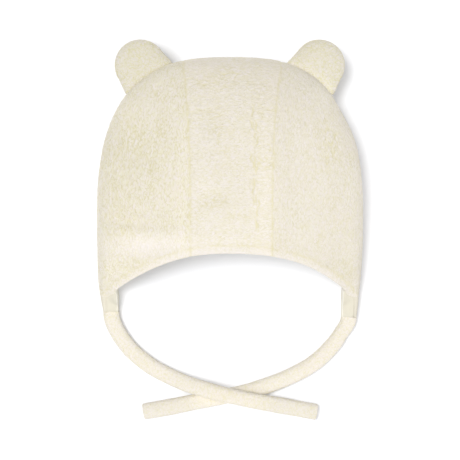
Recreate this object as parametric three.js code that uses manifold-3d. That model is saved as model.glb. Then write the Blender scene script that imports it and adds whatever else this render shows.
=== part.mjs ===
// A baby's bonnet of short-pile fleece, lying on its back as on a table: a centre strip that runs from the brow
// over the crown to the nape, two side panels that end in narrow flap tips, a thin jersey lining, two padded
// round ears on the crown and two soft ties that cross in front of it.
// Millimetres, +Z up, +Y from the mouth towards the crown. The back rests on z = 0.
import * as THREE from "three";
import { mergeVertices } from "three/addons/utils/BufferGeometryUtils.js";
import Module from "manifold-3d";

const wasm = await Module();
wasm.setup();

// Cloth
const FLEECE_WALL = 2.8;
const LINING_WALL = 0.8;
const GAP = 0.3; // clear space between two pieces that are sewn together
const EDGE_BULGE = 0.35; // how far a wall's edge rounds out, as a share of the wall

// The hat's outline as it lies, seen from above
const HAT_WIDTH = 198;
const CROWN_RISE = 128; // from the widest line up to the top of the crown
const CROWN_SQUARENESS = 2.8; // exponent of the superellipse above the widest line
const FLAP_DROP = 63.5; // from the widest line down to the flap tips
const FLAP_TAPER = 4; // how far each side has drawn in at the flap tip

// The brim's edge in front
const BROW_DROP = 17.5; // from the widest line down to the edge at the brow
const BRIM_DIP = 26.5; // from the brow down to where the edge reaches the flap
const BRIM_ROUNDNESS = 2.4; // exponent of that dip
const NAPE_HIDE = 3; // how far the nape's edge lies above the brow's edge, so that it hides behind it

// Height of the lying hat
const FULLNESS = 62; // outside, at the fullest part of the crown
const FOLD_LEVEL = 0.45; // height of the side fold, as a share of the height beside it
const FRONT_ROUNDING = 0.45; // share of each front rib that rounds up from the fold
const BACK_ROUNDING = 0.36; // share of each back rib that rounds down to the ground
const ROUNDING_POWER = 2.2; // 2 is a circle, more is squarer

// The centre strip
const STRIP_BROW_WIDTH = 59.7;
const STRIP_CROWN_WIDTH = 73.2;
const STRIP_SHIFT = 1.0; // how far the strip lies to the right of the middle

// Ears
const EAR_RADIUS = 19.3;
const EAR_THICKNESS = 14;
const EAR_SPACING = 122.6; // between the two places where the ears meet the crown's outline
const EAR_LEAN = 33.7; // degrees outward from straight up
const EAR_STAND = 8.3; // from the crown's outline out to the centre of the ear's circle
const EAR_FLARE = 4; // how much wider each side of the ear is at its sewn end
const EAR_ROOT = 26; // from the circle's centre back into the crown, where the ear is cut to fit
const EAR_PLUMPNESS = 2.6; // exponent of the ear's rise from its rim to its middle, more is fuller

// Ties
const TIE_WIDTH = 12.2;
const TIE_THICKNESS = 8.5;

// Ribs of the hat's surface: each starts on the front edge, runs up to the outline's fold and returns under it
// to the back edge. "along" is the share of the front edge from flap tip to brow, "outline" the share of the
// outline from flap tip to crown top, "height" and "edge" are shares of FULLNESS, at the rib and at its front end.
const RIBS = [
  { name: "flap tip", along: 0.0, outline: 0.0, height: 0.165, edge: 0.155 },
  { name: "flap corner", along: 0.1, outline: 0.05, height: 0.21, edge: 0.195 },
  { name: "brim meets flap", along: 0.225, outline: 0.115, height: 0.4, edge: 0.36 },
  { name: "temple", along: 0.46, outline: 0.42, height: 0.8, edge: 0.62 },
  { name: "strip seam", along: null, outline: null, height: 0.985, edge: 0.75 },
  { name: "middle", along: 1.0, outline: 1.0, height: 1.0, edge: 0.775 },
];

// The front edge's last stretch, round the flap: shares of the tie's width outward from the flap's inner side,
// and of the drop from the brim's dip to the flap tip.
const FLAP_EDGE = [
  { name: "tip", across: 0.89, down: 1.0 },
  { name: "above the tip", across: 0.92, down: 0.72 },
  { name: "corner", across: 0.93, down: 0.46 },
  { name: "slope", across: 0.55, down: 0.24 },
];

// Soft dents pressed into the front: centre and reach as shares of half the width and of the crown's rise, depth
// as a share of FULLNESS, and the way the dent runs in degrees.
const DENTS = [
  { name: "fold over the left temple", x: -0.78, y: 0.03, long: 0.3, wide: 0.07, depth: 0.045, turn: -4 },
  { name: "hollow of the left side", x: -0.7, y: 0.55, long: 0.3, wide: 0.22, depth: 0.04, turn: 60 },
  { name: "hollow of the right side", x: 0.66, y: 0.3, long: 0.42, wide: 0.2, depth: 0.03, turn: 80 },
  { name: "dip of the right flap", x: 0.86, y: -0.25, long: 0.16, wide: 0.1, depth: 0.03, turn: 70 },
];

// How finely the surface is cut into facets
const SIDE_COLUMNS = 16;
const STRIP_COLUMNS = 6;
const FRONT_ROWS = 11;
const BACK_ROWS = 9;
const EAR_RIM_POINTS = 36;
const EAR_RINGS = [1, 0.97, 0.88, 0.7, 0.42]; // shares of the way from the ear's middle to its rim
const NORMAL_STEP = 0.004; // in ribs and in turns, over which the surface's normal is measured
const HALVINGS = 40; // steps of a search by halving

// Routes of the ties on the ground, in the finished part's frame: x, y and height of the centre line. The left
// tie passes over the right one in a long low hump.
const LEFT_TIE = [
  [-89, -103.1, 4.25], [-89, -106.5, 4.25], [-87.2, -111, 4.25], [-84, -116.6, 4.25],
  [-80, -122, 4.25], [-75.2, -127.7, 4.25], [-66.2, -135.6, 4.25], [-57.1, -142, 4.25],
  [-48.1, -146.8, 4.4], [-39, -151, 5.8], [-30, -154.6, 8.3], [-21, -157.7, 11],
  [-12, -160.2, 12.9], [-3, -162.4, 13.5], [6, -164.3, 13.5], [15, -166.2, 12.9],
  [24, -168, 11], [33, -169.8, 8.3], [42, -171.6, 5.8], [51, -173.4, 4.4],
  [58.5, -174.8, 4.25], [66, -176.1, 4.25],
];
const RIGHT_TIE = [
  [89, -103.1, 4.25], [89, -106.5, 4.25], [87, -111, 4.25], [83.8, -116.2, 4.25],
  [79.8, -122, 4.25], [74.8, -127.7, 4.25], [68.4, -133.8, 4.25], [60.5, -139.8, 4.25],
  [51.4, -145, 4.25], [42.4, -149.3, 4.25], [33.3, -153, 4.25], [24.3, -156.4, 4.25],
  [15.2, -159.4, 4.25], [6.2, -161.8, 4.25], [-3, -163.9, 4.25], [-16.4, -166.6, 4.25],
  [-30, -169.1, 4.25], [-43, -171.7, 4.25], [-55, -173.9, 4.25], [-65.8, -175.8, 4.25],
];
const TIE_STEPS = 44;
const TIE_SIDES = 10;

const HALF = HAT_WIDTH / 2;
const FLAP_INNER = HALF - FLAP_TAPER - TIE_WIDTH; // x of the flap's inner side
const BRIM_LOW = -BROW_DROP - BRIM_DIP; // y where the brim reaches the flap

const fleece = new THREE.MeshStandardMaterial({ color: 0xf1ebd8, roughness: 1, metalness: 0 });
const jersey = new THREE.MeshStandardMaterial({ color: 0xe9e2cc, roughness: 0.9, metalness: 0 });

// Half of the outline from flap tip to crown top: a gently drawn-in side, then a superellipse.
function outlineCurve() {
  const points = [];
  for (let i = 0; i < 6; i++) {
    const y = -FLAP_DROP * (1 - i / 6);
    points.push(new THREE.Vector3(HALF - FLAP_TAPER * (y / FLAP_DROP) ** 2, y, 0));
  }
  for (let i = 0; i <= 20; i++) {
    const a = (i / 20) * (Math.PI / 2);
    const x = HALF * Math.max(Math.cos(a), 0) ** (2 / CROWN_SQUARENESS);
    points.push(new THREE.Vector3(x, CROWN_RISE * Math.sin(a) ** (2 / CROWN_SQUARENESS), 0));
  }
  return new THREE.CatmullRomCurve3(points);
}

// Half of an edge from flap tip to middle: the given points on the flap, then the brim's dip raised by "lift".
function edgeCurve(flapPoints, lift) {
  const points = [...flapPoints];
  for (let i = 0; i <= 10; i++) {
    const x = FLAP_INNER * (1 - i / 10);
    const y = -BROW_DROP - BRIM_DIP * (x / FLAP_INNER) ** BRIM_ROUNDNESS + lift;
    points.push(new THREE.Vector3(x, y, 0));
  }
  return new THREE.CatmullRomCurve3(points);
}

const outline = outlineCurve();
const flapDepth = FLAP_DROP + BRIM_LOW;
const frontEdge = edgeCurve(
  FLAP_EDGE.map((p) => new THREE.Vector3(FLAP_INNER + p.across * TIE_WIDTH, BRIM_LOW - p.down * flapDepth, 0)),
  0,
);
const backEdge = edgeCurve(
  [1, 0.66, 0.33].map((down) => new THREE.Vector3(FLAP_INNER, BRIM_LOW - down * flapDepth, 0)),
  NAPE_HIDE,
);

// The place between two bounds up to which a test holds, found by halving.
function lastWhere(low, high, test) {
  for (let i = 0; i < HALVINGS; i++) {
    const mid = (low + high) / 2;
    if (test(mid)) low = mid;
    else high = mid;
  }
  return low;
}

// The share of a half curve at which it has come in to the given x. Below the start it runs beside the flap.
function shareAtX(curve, x, start) {
  return lastWhere(start, 1, (share) => curve.getPointAt(share).x > x);
}

const seamRib = RIBS.find((rib) => rib.name === "strip seam");
const brimStart = RIBS.find((rib) => rib.name === "brim meets flap").along;
seamRib.along = shareAtX(frontEdge, STRIP_BROW_WIDTH / 2, brimStart);
seamRib.outline = shareAtX(outline, STRIP_CROWN_WIDTH / 2, 0);

// A smooth curve through one column of the ribs' table, with no overshoot, mirrored about the middle.
function ribColumn(key) {
  const x = [...RIBS.map((r) => r.along), ...RIBS.slice(0, -1).reverse().map((r) => 2 - r.along)];
  const mirror = key === "outline" ? (v) => 2 - v : (v) => v;
  const y = [...RIBS.map((r) => r[key]), ...RIBS.slice(0, -1).reverse().map((r) => mirror(r[key]))];
  const slope = x.slice(1).map((v, i) => (y[i + 1] - y[i]) / (v - x[i]));
  const tangent = x.map((v, i) => {
    if (i === 0) return slope[0];
    if (i === x.length - 1) return slope[i - 1];
    if (slope[i - 1] * slope[i] <= 0) return 0;
    const before = x[i] - x[i - 1];
    const after = x[i + 1] - x[i];
    // The weighted harmonic mean of the slopes on both sides.
    return (3 * (before + after)) / ((2 * after + before) / slope[i - 1] + (after + 2 * before) / slope[i]);
  });
  return (at) => {
    let i = 0;
    while (i < x.length - 2 && at > x[i + 1]) i++;
    const span = x[i + 1] - x[i];
    const t = (at - x[i]) / span;
    return (
      y[i] * (1 + 2 * t) * (1 - t) ** 2 +
      span * tangent[i] * t * (1 - t) ** 2 +
      y[i + 1] * t * t * (3 - 2 * t) +
      span * tangent[i + 1] * t * t * (t - 1)
    );
  };
}

const outlineShare = ribColumn("outline");
const heightShare = ribColumn("height");
const edgeShare = ribColumn("edge");

// A half curve and its mirror image as one: 0 is the left flap tip, 1 the middle, 2 the right flap tip.
function onBothSides(curve, at) {
  const p = curve.getPointAt(Math.min(at <= 1 ? at : 2 - at, 1));
  if (at <= 1) p.x = -p.x;
  return p;
}

// Depth of all dents at a place of the front.
function dentDepth(x, y) {
  return DENTS.reduce((sum, dent) => {
    const a = THREE.MathUtils.degToRad(dent.turn);
    const dx = x / HALF - dent.x;
    const dy = y / CROWN_RISE - dent.y;
    const u = (dx * Math.cos(a) + dy * Math.sin(a)) / dent.long;
    const v = (dy * Math.cos(a) - dx * Math.sin(a)) / dent.wide;
    return sum + dent.depth * FULLNESS * Math.exp(-u * u - v * v);
  }, 0);
}

// The hat's outer surface. "at" picks the rib from 0 (left flap tip) to 2 (right flap tip); "turn" runs along it
// from -1 (front edge) through 0 (the fold on the outline) to 1 (back edge).
function outer(at, turn) {
  const fold = onBothSides(outline, outlineShare(at));
  const end = onBothSides(turn < 0 ? frontEdge : backEdge, at);
  const height = FULLNESS * heightShare(at);
  const level = height * FOLD_LEVEL;
  const rounding = turn < 0 ? FRONT_ROUNDING : BACK_ROUNDING;
  const share = Math.abs(turn);
  // The first half of a turn rounds the fold by equal angles, the second runs straight to the edge.
  const angle = Math.min(share * 2, 1) * (Math.PI / 2);
  const run = share <= 0.5 ? rounding * (1 - Math.max(Math.cos(angle), 0) ** (2 / ROUNDING_POWER))
    : rounding + (1 - rounding) * (share * 2 - 1);
  const rise = Math.sin(angle) ** (2 / ROUNDING_POWER);
  const p = fold.lerp(end, run);
  if (turn < 0) {
    const sag = Math.max((run - rounding) / (1 - rounding), 0) ** 2;
    p.z = level + (height - level) * rise - (height - edgeShare(at) * FULLNESS) * sag;
    p.z -= dentDepth(p.x, p.y) * rise ** 2 * Math.min(height / FULLNESS, 1);
  } else {
    p.z = level * (1 - rise);
  }
  return p;
}

// The surface moved inward by "depth" along its own normal, measured over a small step each way.
function surface(at, turn, depth) {
  const low = outer(Math.max(at - NORMAL_STEP, 0), turn);
  const high = outer(Math.min(at + NORMAL_STEP, 2), turn);
  const front = outer(at, Math.max(turn - NORMAL_STEP, -1));
  const back = outer(at, Math.min(turn + NORMAL_STEP, 1));
  const normal = back.sub(front).cross(high.sub(low)).normalize();
  return outer(at, turn).addScaledVector(normal, depth);
}

// Turns from front edge to back edge, closer together round the fold.
const TURNS = [];
for (let i = -FRONT_ROWS; i <= BACK_ROWS; i++) TURNS.push(i / (i < 0 ? FRONT_ROWS : BACK_ROWS));

// A closed solid from a grid of rings, one ring for each column, with both ends closed by "cap".
function ringSolid(rings, cap) {
  const size = rings[0].length;
  const index = [];
  for (let c = 0; c + 1 < rings.length; c++)
    for (let r = 0; r < size; r++) {
      const a = c * size + r;
      const b = c * size + ((r + 1) % size);
      index.push(a, a + size, b, b, a + size, b + size);
    }
  const last = (rings.length - 1) * size;
  for (const [a, b, c] of cap) index.push(a, b, c, last + a, last + c, last + b);
  const geometry = new THREE.BufferGeometry().setFromPoints(rings.flat());
  geometry.setIndex(index);
  geometry.computeVertexNormals();
  return geometry;
}

// Columns of a piece of the hat's wall from rib "from" to rib "to", with its ends moved in x by the two shifts.
function columnsBetween(from, to, count, startShift, endShift) {
  return Array.from({ length: count + 1 }, (_, i) => ({
    at: from + ((to - from) * i) / count,
    shift: startShift * (1 - i / count) + endShift * (i / count),
  }));
}

// A piece of the hat's wall between two depths under the outer surface, with softly rounded edges.
function wallPiece(columns, topDepth, wall) {
  const rows = TURNS.length;
  const rings = columns.map(({ at, shift }) => {
    const top = TURNS.map((turn) => surface(at, turn, topDepth));
    const under = TURNS.map((turn) => surface(at, turn, topDepth + wall)).reverse();
    const bulge = (a, b, inner) => {
      const out = a.clone().sub(inner).setZ(0).normalize();
      return a.clone().lerp(b, 0.5).addScaledVector(out, wall * EDGE_BULGE);
    };
    const backEnd = bulge(top[rows - 1], under[0], top[rows - 2]);
    const frontEnd = bulge(top[0], under[rows - 1], top[1]);
    const ring = [...top, backEnd, ...under, frontEnd];
    ring.forEach((p) => (p.x += shift));
    return ring;
  });
  const cap = [];
  for (let r = 0; r + 1 < rows; r++) {
    const under = 2 * rows - r;
    cap.push([r, r + 1, under], [r + 1, under - 1, under]);
  }
  cap.push([rows - 1, rows, rows + 1], [0, 2 * rows, 2 * rows + 1]);
  return ringSolid(rings, cap);
}

// The whole space that the hat takes up, grown by the gap: what an ear's sewn end is cut with.
function envelope(columns) {
  const rings = columns.map(({ at }) => TURNS.map((turn) => surface(at, turn, -GAP)));
  const cap = TURNS.slice(2).map((_, i) => [0, i + 1, i + 2]);
  return ringSolid(rings, cap);
}

function solidOf(geometry) {
  const bare = geometry.clone().deleteAttribute("normal");
  const merged = mergeVertices(bare, 1e-4);
  const mesh = { numProp: 3, vertProperties: merged.attributes.position.array };
  mesh.triVerts = new Uint32Array(merged.index.array);
  return new wasm.Manifold(new wasm.Mesh(mesh));
}

function geometryOf(solid) {
  const mesh = solid.getMesh();
  const geometry = new THREE.BufferGeometry();
  geometry.setAttribute("position", new THREE.BufferAttribute(mesh.vertProperties, 3));
  geometry.setIndex(new THREE.BufferAttribute(mesh.triVerts, 1));
  geometry.computeVertexNormals();
  return geometry;
}

// An ear before it is cut: a tongue outline, puffed up from its rim to the middle. Its circle's centre is the
// origin and its tip points to +Y.
function earBlank() {
  const shape = new THREE.Shape();
  shape.moveTo(-EAR_RADIUS - EAR_FLARE, -EAR_ROOT);
  shape.lineTo(EAR_RADIUS + EAR_FLARE, -EAR_ROOT);
  shape.lineTo(EAR_RADIUS, 0);
  shape.absarc(0, 0, EAR_RADIUS, 0, Math.PI, false);
  shape.closePath();
  const rim = shape.getSpacedPoints(EAR_RIM_POINTS).slice(0, -1);
  const puff = (share) => (EAR_THICKNESS / 2) * (1 - share ** EAR_PLUMPNESS) ** 0.5;
  const ring = (share, side) => rim.map((p) => new THREE.Vector3(p.x * share, p.y * share, side * puff(share)));
  const rings = [
    ...EAR_RINGS.slice(1).reverse().map((share) => ring(share, 1)),
    ring(1, 1),
    ...EAR_RINGS.slice(1).map((share) => ring(share, -1)),
  ];
  const cap = rim.slice(2).map((_, i) => [0, i + 1, i + 2]);
  return ringSolid(rings, cap);
}

// An ear seated on the crown's outline: side is -1 for the left and 1 for the right.
function earGeometry(side, hatSpace) {
  const share = shareAtX(outline, EAR_SPACING / 2, 0);
  const rib = lastWhere(0, 1, (at) => outlineShare(at) < share);
  const seat = outer(side < 0 ? rib : 2 - rib, 0);
  const lean = THREE.MathUtils.degToRad(EAR_LEAN) * side;
  const blank = earBlank();
  blank.rotateZ(-lean);
  blank.translate(seat.x + Math.sin(lean) * EAR_STAND, seat.y + Math.cos(lean) * EAR_STAND, seat.z);
  return geometryOf(solidOf(blank).subtract(hatSpace));
}

// A tie: an oval section carried along its route.
function tieGeometry(route) {
  const section = new THREE.Shape(
    Array.from({ length: TIE_SIDES }, (_, i) => {
      const a = ((i + 0.5) / TIE_SIDES) * 2 * Math.PI;
      return new THREE.Vector2((TIE_THICKNESS / 2) * Math.cos(a), (TIE_WIDTH / 2) * Math.sin(a));
    }),
  );
  const path = new THREE.CatmullRomCurve3(route.map((p) => new THREE.Vector3(...p)));
  return new THREE.ExtrudeGeometry(section, { steps: TIE_STEPS, extrudePath: path });
}

function named(name, geometry, material) {
  const mesh = new THREE.Mesh(geometry, material);
  mesh.name = name;
  return mesh;
}

const leftSeam = shareAtX(frontEdge, STRIP_BROW_WIDTH / 2 - STRIP_SHIFT, brimStart);
const rightSeam = 2 - shareAtX(frontEdge, STRIP_BROW_WIDTH / 2 + STRIP_SHIFT, brimStart);
const leftColumns = columnsBetween(0, leftSeam, SIDE_COLUMNS, 0, -GAP / 2);
const stripColumns = columnsBetween(leftSeam, rightSeam, STRIP_COLUMNS, GAP / 2, -GAP / 2);
const rightColumns = columnsBetween(rightSeam, 2, SIDE_COLUMNS, GAP / 2, 0);
const allColumns = [...leftColumns, ...stripColumns.slice(1, -1), ...rightColumns].map(({ at }) => ({ at, shift: 0 }));
const hatSpace = solidOf(envelope(allColumns));

const hat = new THREE.Group();
hat.add(named("side_panel_left", wallPiece(leftColumns, 0, FLEECE_WALL), fleece));
hat.add(named("centre_panel", wallPiece(stripColumns, 0, FLEECE_WALL), fleece));
hat.add(named("side_panel_right", wallPiece(rightColumns, 0, FLEECE_WALL), fleece));
hat.add(named("lining", wallPiece(allColumns, FLEECE_WALL + GAP, LINING_WALL), jersey));
hat.add(named("ear_left", earGeometry(-1, hatSpace), fleece));
hat.add(named("ear_right", earGeometry(1, hatSpace), fleece));

// The origin is under the middle of the hat's own box, without the ties.
const box = new THREE.Box3().setFromObject(hat);
hat.position.set(-(box.min.x + box.max.x) / 2, -(box.min.y + box.max.y) / 2, 0);

const bonnet = new THREE.Group();
bonnet.add(hat);
bonnet.add(named("tie_left", tieGeometry(LEFT_TIE), fleece));
bonnet.add(named("tie_right", tieGeometry(RIGHT_TIE), fleece));

export default bonnet;
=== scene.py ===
import math

import bpy
import numpy as np
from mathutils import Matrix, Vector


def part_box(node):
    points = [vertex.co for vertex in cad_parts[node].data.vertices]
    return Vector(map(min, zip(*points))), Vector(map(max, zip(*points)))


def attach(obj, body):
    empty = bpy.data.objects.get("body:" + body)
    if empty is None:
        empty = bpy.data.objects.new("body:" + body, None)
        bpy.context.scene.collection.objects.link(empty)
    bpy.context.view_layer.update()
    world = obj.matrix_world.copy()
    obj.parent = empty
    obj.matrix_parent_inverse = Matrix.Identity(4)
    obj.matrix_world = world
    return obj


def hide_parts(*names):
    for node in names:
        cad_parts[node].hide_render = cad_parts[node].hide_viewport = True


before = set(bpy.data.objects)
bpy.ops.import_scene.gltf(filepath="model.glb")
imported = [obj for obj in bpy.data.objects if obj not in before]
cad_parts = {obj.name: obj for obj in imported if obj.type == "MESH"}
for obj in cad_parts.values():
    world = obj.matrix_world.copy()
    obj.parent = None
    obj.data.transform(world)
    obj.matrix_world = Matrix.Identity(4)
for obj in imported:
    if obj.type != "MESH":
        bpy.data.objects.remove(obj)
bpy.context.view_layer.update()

# All lengths below are millimetres, in the frame of the part; a mesh is turned into metres as it is made.
MM = 0.001

# The hat's construction, as in the part
HALF_WIDTH = 99.0
CROWN_RISE = 128.0
CROWN_SQUARENESS = 2.8
FLAP_DROP = 63.5
FLAP_TAPER = 4.0
BROW_DROP = 17.0
BRIM_DIP = 27.0
BRIM_ROUNDNESS = 2.38
NAPE_HIDE = 3.0
FULLNESS = 62.0
FOLD_LEVEL = 0.45
FRONT_ROUNDING = 0.45
BACK_ROUNDING = 0.36
ROUNDING_POWER = 2.2
STRIP_BROW_WIDTH = 59.7
STRIP_CROWN_WIDTH = 73.2
STRIP_SHIFT = 1.0
EAR_RADIUS = 19.6
EAR_THICKNESS = 14.0
EAR_SPACING = 124.0
EAR_LEAN = math.radians(33.7)
EAR_STAND = 8.3  # from the crown's edge to the middle of the ear's round, along the ear
EAR_RISE = 1.1  # and this much further towards the crown's top
EAR_ROOT = 15.0  # from the middle of the round to the sewn end inside the crown
EAR_FLARE = 3.0  # how much the sides spread over the length below
EAR_FLARE_LENGTH = 26.0
TIE_WIDTH = 12.2
TIE_THICKNESS = 8.5
FLAP_INNER = 84.2
BRIM_LOW = -BROW_DROP - BRIM_DIP
FLAP_SHIFT = 2.2  # the left flap ends this much higher, the right one this much lower
PILE_END = -49.3  # below this the flaps are smooth, without pile

# The hat's own frame starts on its widest line; the part's frame starts under the middle of its box.
TO_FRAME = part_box("centre_panel")[1].y / MM - CROWN_RISE

# Cloth
FLEECE_WALL = 2.6
LINING_WALL = 0.8
LINING_GAP = 0.4
SIDE_RIB = 0.62  # the rib of a side on which its rows stand evenly, as a share of the way from flap to seam
HEM_WIDTH = 6.0  # from the brim's edge up to its row of stitches
PILE_LIFT = 0.25  # from the plain surface to the middle of the pile
EDGE_BULGE = 0.45  # how round the fleece's edge is, as a share of a half circle
TAB_SWELL = 4.4  # how far the lining swells out inside the flap tips
TAB_MARGIN = 1.4  # from this far inside the fleece's front edge it rises to the edge's own height

# Ribs of the surface from flap tip to middle, as in the part: their shares of the brim and of the outline,
# their heights on the crown and at the edge, how late they swing out to the crown, and the cloth's thickness
RIBS = {
    "along": [0.0, 0.1, 0.225, 0.46, None, 1.0],
    "outline": [0.0, 0.05, 0.115, 0.42, None, 1.0],
    "height": [0.165, 0.21, 0.4, 0.8, 0.985, 1.0],
    "edge": [0.155, 0.195, 0.36, 0.62, 0.75, 0.775],
    "bend": [1.0, 1.0, 1.0, 1.0, 3.6, 3.8],
    "wall": [0.5, 0.6, 0.85, 1.0, 1.0, 1.0],
}
FLAP_EDGE = [(0.8, 1.0), (0.81, 0.7), (0.79, 0.42), (0.64, 0.3), (0.36, 0.24)]

# Where the outline and the brim are not quite even: side, height on the hat, reach, push to the right
UNEVEN_SIDES = [(1, 90, 17, -2.5), (-1, -42, 20, -1.0)]
UNEVEN_BRIM = [(64.0, 26.0, 1.5), (-56.0, 22.0, -0.6)]  # place, reach and lift

# Soft rises and dents of the front: place from the middle of the widest line, reach along and across, the way
# it runs in degrees, and how far it stands out, or in where negative
FORMS = [
    ("fold over the left temple", -74, 7, 30, 6, -4, -4.2),
    ("puff below that fold", -62, -8, 38, 9, -3, 2.6),
    ("slanting puff of the left side", -55, 32, 22, 8, -42, 2.0),
    ("slanting fold above it", -74, 36, 16, 5, -50, -1.8),
    ("hollow of the left side", -70, 62, 34, 20, 60, -2.2),
    ("hollow at the strip's upper left", -13, 82, 24, 11, 80, -1.4),
    ("dip low on the strip", -12, 18, 16, 6, 8, -1.0),
    ("ridge beside the left seam", -37, 22, 60, 4.5, 90, 0.4),
    ("ridge beside the right seam", 22, 30, 55, 8.5, 88, 0.8),
    ("hollow beyond the right seam", 46, 30, 48, 8, 88, -0.5),
    ("dip of the right flap", 80, -26, 14, 9, 60, -1.8),
    ("puff of the right side", 70, 10, 34, 16, 90, 0.9),
]

# Patches of the front: place from the middle of the widest line, reach across and up, and share

# Where the pile is ruffled
RUFFLED = [
    (-12, 78, 9, 16, 1), (-12, 22, 12, 6, 1), (-62, 60, 24, 14, 1), (-84, 45, 12, 16, 1),
    (-80, 5, 10, 18, 1), (0, 112, 14, 8, 1), (20, 66, 6, 40, 1), (-20, 108, 16, 6, 1),
    (88, -28, 6, 8, 1), (72, 60, 10, 22, 1),
]

# Where the colour is painted lighter and darker: partly for pile laid flat, which looks brighter, and
# standing pile, which looks darker, and partly painted light and shade, which flattens the shading at the
# shoulders and side edges
PAINTED_LIGHT_AND_NAP = [
    (-62, -10, 34, 9, 0.07), (-82, -28, 18, 14, 0.05), (0, -9, 42, 10, 0.045), (0, 9, 30, 10, 0.02),
    (62, 50, 22, 50, 0.02), (95, 30, 9, 60, 0.09), (-95, 30, 9, 60, 0.05), (-15, 75, 8, 16, -0.03),
    (-12, 21, 12, 5, -0.03), (-75, 60, 22, 18, -0.02), (88, -30, 8, 9, -0.03), (24, 24, 9, 40, 0.035),
    (-36, 20, 7, 45, 0.03), (-82, -6, 16, 14, 0.02), (18, 104, 26, 14, -0.02), (-78, 92, 15, 22, 0.06),
    (82, 88, 16, 34, 0.06), (99, 25, 5, 60, 0.08), (-30, 116, 30, 8, 0.02), (-18, 30, 10, 8, 0.03),
    (30, 20, 8, 36, 0.02), (-72, 1, 15, 5, 0.025), (-92, 95, 10, 22, 0.04), (84, 112, 12, 18, 0.03),
    (-60, 112, 18, 9, 0.045), (50, 116, 16, 8, 0.045), (74, 103, 14, 12, 0.055), (93, 84, 6, 18, 0.04),
]

# Where it lies so flat that it shows no crackle and looks whiter
FLAT = [(-62, -12, 34, 9, 1)]

# The long partings of the strip: the line that they wander about, and how far each keeps off it
PARTING_X = 18.0
PARTINGS = (-2.4, 0.3, 2.6)

# Routes of the ties' centre lines, as in the part
LEFT_TIE = [
    (-89.4, -99.4, 4.25), (-89.3, -103.5, 4.25), (-87.4, -110, 4.25), (-84, -116.6, 4.25),
    (-80.2, -122.4, 4.25), (-75.4, -128.4, 4.25), (-66.4, -136.5, 4.25), (-57.3, -142.9, 4.25),
    (-48.2, -147.7, 4.4), (-39.1, -151.8, 5.8), (-30, -155.2, 8.3), (-21, -157.7, 11),
    (-12, -160.2, 12.9), (-3, -162.4, 13.5), (6, -164.3, 13.5), (15, -166.2, 12.9),
    (24, -168, 11), (33, -169.8, 8.3), (42, -171.6, 5.8), (51, -173.4, 4.4),
    (58.5, -174.8, 4.25), (66, -176.1, 4.25),
]
RIGHT_TIE = [
    (89.6, -103.6, 4.25), (89.2, -107.2, 4.25), (87.2, -111.4, 4.25), (83.8, -116.2, 4.25),
    (79.9, -122.3, 4.25), (75, -128.2, 4.25), (68.7, -134.5, 4.25), (60.8, -140.7, 4.25),
    (51.7, -146, 4.25), (42.7, -150.3, 4.25), (33.5, -154, 4.25), (24.4, -157.2, 4.25),
    (15.2, -160, 4.25), (6.2, -162.2, 4.25), (-3, -163.9, 4.25), (-16.4, -166.6, 4.25),
    (-30, -169.1, 4.25), (-43, -171.7, 4.25), (-55, -173.9, 4.25), (-65.8, -175.8, 4.25),
]

# Camera: straight above, far off, at the photograph's scale at the height of the side folds
CAMERA_HEIGHT = 1.5
FOLD_HEIGHT = 0.031
PICTURE_WIDTH = 0.3407
SENSOR = 36.0


def make_camera():
    """A long lens looking straight down: the lens is the sensor times the distance over the width that it has
    to show."""
    data = bpy.data.cameras.new("camera")
    data.sensor_width = SENSOR
    data.lens = SENSOR * (CAMERA_HEIGHT - FOLD_HEIGHT) / PICTURE_WIDTH
    camera = bpy.data.objects.new("camera", data)
    camera.location = (0.0, TO_FRAME * MM, CAMERA_HEIGHT)
    bpy.context.scene.collection.objects.link(camera)
    bpy.context.scene.camera = camera


# Small helpers on arrays

def ease(x):
    """0 below 0 and 1 above 1, with a soft S between."""
    t = np.clip(x, 0, 1)
    return t * t * (3 - 2 * t)


def hump(x):
    """A bell of height 1 at 0."""
    return np.exp(-x * x)


def unit(v):
    """Vectors brought to length 1 along the last axis."""
    return v / np.maximum(np.linalg.norm(v, axis=-1, keepdims=True), 1e-9)


def run_along(path):
    """The length along a path up to each of its points."""
    return np.concatenate(([0], np.cumsum(np.linalg.norm(np.diff(path, axis=0), axis=1))))


def spread_evenly(points, count):
    """The same path with its points at equal distances along it."""
    run = run_along(points)
    at = np.linspace(0, run[-1], count)
    return np.stack([np.interp(at, run, points[:, k]) for k in range(points.shape[1])], -1)


def smooth_path(points, count):
    """A smooth curve through the points: each span is a cubic, and the slope at a point comes from both its
    neighbours. Knots are spaced by the root of the distances."""
    p = np.asarray(points, float)
    knots = np.concatenate(([0], np.cumsum(np.linalg.norm(np.diff(p, axis=0), axis=1) ** 0.5)))
    slope = np.gradient(p, knots, axis=0)
    fine = np.linspace(0, knots[-1], 80 * len(p))
    i = np.clip(np.searchsorted(knots, fine, side="right") - 1, 0, len(p) - 2)
    span = (knots[i + 1] - knots[i])[:, None]
    t = (fine - knots[i])[:, None] / span
    curve = (p[i] * (1 + 2 * t) * (1 - t) ** 2 + span * slope[i] * t * (1 - t) ** 2
             + p[i + 1] * t * t * (3 - 2 * t) + span * slope[i + 1] * t * t * (t - 1))
    return spread_evenly(curve, count)


# Noise, worked out from whole-number places so that every run is the same

def scramble(cell, seed):
    """One well mixed whole number for each whole-number place."""
    h = (cell[..., 0] * 73856093) ^ (cell[..., 1] * 19349663) ^ (cell[..., 2] * 83492791) ^ (seed * 26544357)
    h = ((h ^ (h >> 13)) * 1274126177) & 0xFFFFFFFF
    return (h ^ (h >> 15)) & 0xFFFFFF


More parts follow.
